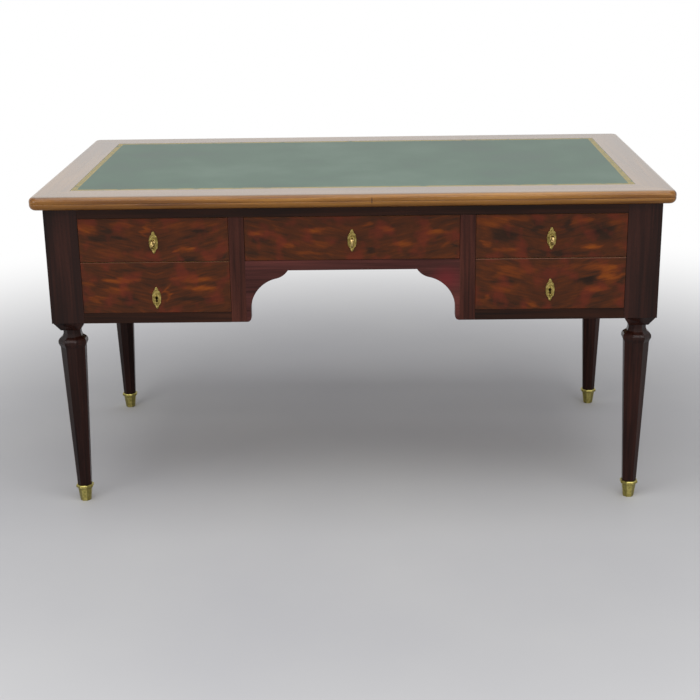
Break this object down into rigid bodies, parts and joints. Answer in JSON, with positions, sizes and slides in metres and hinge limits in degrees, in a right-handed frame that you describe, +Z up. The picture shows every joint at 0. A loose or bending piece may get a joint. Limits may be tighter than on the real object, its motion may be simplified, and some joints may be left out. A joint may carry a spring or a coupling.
{
  "type": "kneehole writing desk",
  "caption": "Flat-topped writing desk with a leather top, an arched kneehole, drawers that slide and lock with keys, and octagonal tapered legs in brass sabots.",
  "frame": {"origin": "on the floor under the middle of the top", "axes": "+X to the right along the desk's length, +Y from its front to its back, +Z up"},
  "size_m": [1.44, 0.8, 0.76],
  "materials": {
    "polished_mahogany": "red-brown mahogany, french polished to a soft gloss",
    "flame_mahogany": "bookmatched crotch mahogany veneer, french polished",
    "honey_mahogany_edge": "faded golden mahogany, waxed and polished",
    "oak_lining": "plain planed oak, unpolished",
    "green_leather": "dark green skiver leather with a gilt tooled border",
    "cast_brass": "cast brass with a worn gilt lacquer",
    "key_brass": "polished brass, darkened in the hollows",
    "lock_steel": "filed iron, darkened with age"
  },
  "bodies": {
    "case": {"top_front_frame": "honey_mahogany_edge", "top_back_frame": "honey_mahogany_edge", "top_left_frame": "honey_mahogany_edge", "top_right_frame": "honey_mahogany_edge", "top_core_panel": "oak_lining", "writing_leather": "green_leather", "front_left_leg": "polished_mahogany", "front_right_leg": "polished_mahogany", "back_left_leg": "polished_mahogany", "back_right_leg": "polished_mahogany", "front_left_sabot": "cast_brass", "front_right_sabot": "cast_brass", "back_left_sabot": "cast_brass", "back_right_sabot": "cast_brass", "front_top_rail": "polished_mahogany", "kneehole_apron": "polished_mahogany", "back_panel": "polished_mahogany", "drawer_dividers": "oak_lining", "drawer_runners": "oak_lining", "left_front_stile": "polished_mahogany", "left_bottom_rail": "polished_mahogany", "left_side_panel": "polished_mahogany", "left_cheek": "polished_mahogany", "right_front_stile": "polished_mahogany", "right_bottom_rail": "polished_mahogany", "right_side_panel": "polished_mahogany", "right_cheek": "polished_mahogany"},
    "left_upper_drawer": {"left_upper_drawer_front": "flame_mahogany", "left_upper_drawer_box": "oak_lining", "left_upper_drawer_bottom": "oak_lining", "left_upper_drawer_lock_case": "lock_steel", "left_upper_drawer_escutcheon": "cast_brass"},
    "left_lower_drawer": {"left_lower_drawer_front": "flame_mahogany", "left_lower_drawer_box": "oak_lining", "left_lower_drawer_bottom": "oak_lining", "left_lower_drawer_lock_case": "lock_steel", "left_lower_drawer_escutcheon": "cast_brass"},
    "centre_drawer": {"centre_drawer_front": "flame_mahogany", "centre_drawer_box": "oak_lining", "centre_drawer_bottom": "oak_lining", "centre_drawer_lock_case": "lock_steel", "centre_drawer_escutcheon": "cast_brass"},
    "right_upper_drawer": {"right_upper_drawer_front": "flame_mahogany", "right_upper_drawer_box": "oak_lining", "right_upper_drawer_bottom": "oak_lining", "right_upper_drawer_lock_case": "lock_steel", "right_upper_drawer_escutcheon": "cast_brass"},
    "right_lower_drawer": {"right_lower_drawer_front": "flame_mahogany", "right_lower_drawer_box": "oak_lining", "right_lower_drawer_bottom": "oak_lining", "right_lower_drawer_lock_case": "lock_steel", "right_lower_drawer_escutcheon": "cast_brass"},
    "left_upper_bolt": {"left_upper_drawer_lock_bolt": "lock_steel"},
    "left_upper_key": {"left_upper_drawer_key": "key_brass"},
    "left_lower_bolt": {"left_lower_drawer_lock_bolt": "lock_steel"},
    "centre_bolt": {"centre_drawer_lock_bolt": "lock_steel"},
    "centre_key": {"centre_drawer_key": "key_brass"},
    "right_upper_bolt": {"right_upper_drawer_lock_bolt": "lock_steel"},
    "right_upper_key": {"right_upper_drawer_key": "key_brass"},
    "right_lower_bolt": {"right_lower_drawer_lock_bolt": "lock_steel"}
  },
  "joints": [
    {"name": "left_upper_drawer_slide", "type": "slide", "parent": "case", "child": "left_upper_drawer", "axis": [0, -1, 0], "range_m": [0, 0.4]},
    {"name": "left_lower_drawer_slide", "type": "slide", "parent": "case", "child": "left_lower_drawer", "axis": [0, -1, 0], "range_m": [0, 0.4]},
    {"name": "centre_drawer_slide", "type": "slide", "parent": "case", "child": "centre_drawer", "axis": [0, -1, 0], "range_m": [0, 0.4]},
    {"name": "right_upper_drawer_slide", "type": "slide", "parent": "case", "child": "right_upper_drawer", "axis": [0, -1, 0], "range_m": [0, 0.4]},
    {"name": "right_lower_drawer_slide", "type": "slide", "parent": "case", "child": "right_lower_drawer", "axis": [0, -1, 0], "range_m": [0, 0.4]},
    {"name": "left_upper_key_turn", "type": "hinge", "parent": "left_upper_drawer", "child": "left_upper_key", "pos_m": [-0.4495, -0.364, 0.648], "axis": [0, 1, 0], "range_deg": [0, 180]},
    {"name": "left_upper_bolt_throw", "type": "slide", "parent": "left_upper_drawer", "child": "left_upper_bolt", "axis": [0, 0, 1], "range_m": [0, 0.006]},
    {"name": "left_lower_bolt_throw", "type": "slide", "parent": "left_lower_drawer", "child": "left_lower_bolt", "axis": [0, 0, 1], "range_m": [0, 0.006]},
    {"name": "centre_key_turn", "type": "hinge", "parent": "centre_drawer", "child": "centre_key", "pos_m": [0, -0.364, 0.648], "axis": [0, 1, 0], "range_deg": [0, 180]},
    {"name": "centre_bolt_throw", "type": "slide", "parent": "centre_drawer", "child": "centre_bolt", "axis": [0, 0, 1], "range_m": [0, 0.006]},
    {"name": "right_upper_key_turn", "type": "hinge", "parent": "right_upper_drawer", "child": "right_upper_key", "pos_m": [0.4495, -0.364, 0.648], "axis": [0, 1, 0], "range_deg": [0, 180]},
    {"name": "right_upper_bolt_throw", "type": "slide", "parent": "right_upper_drawer", "child": "right_upper_bolt", "axis": [0, 0, 1], "range_m": [0, 0.006]},
    {"name": "right_lower_bolt_throw", "type": "slide", "parent": "right_lower_drawer", "child": "right_lower_bolt", "axis": [0, 0, 1], "range_m": [0, 0.006]}
  ],
  "couplings": [
    {"joint": "left_upper_key_turn", "follows": "left_upper_bolt_throw", "rad_per_m": 523.59},
    {"joint": "centre_key_turn", "follows": "centre_bolt_throw", "rad_per_m": 523.59},
    {"joint": "right_upper_key_turn", "follows": "right_upper_bolt_throw", "rad_per_m": 523.59}
  ]
}
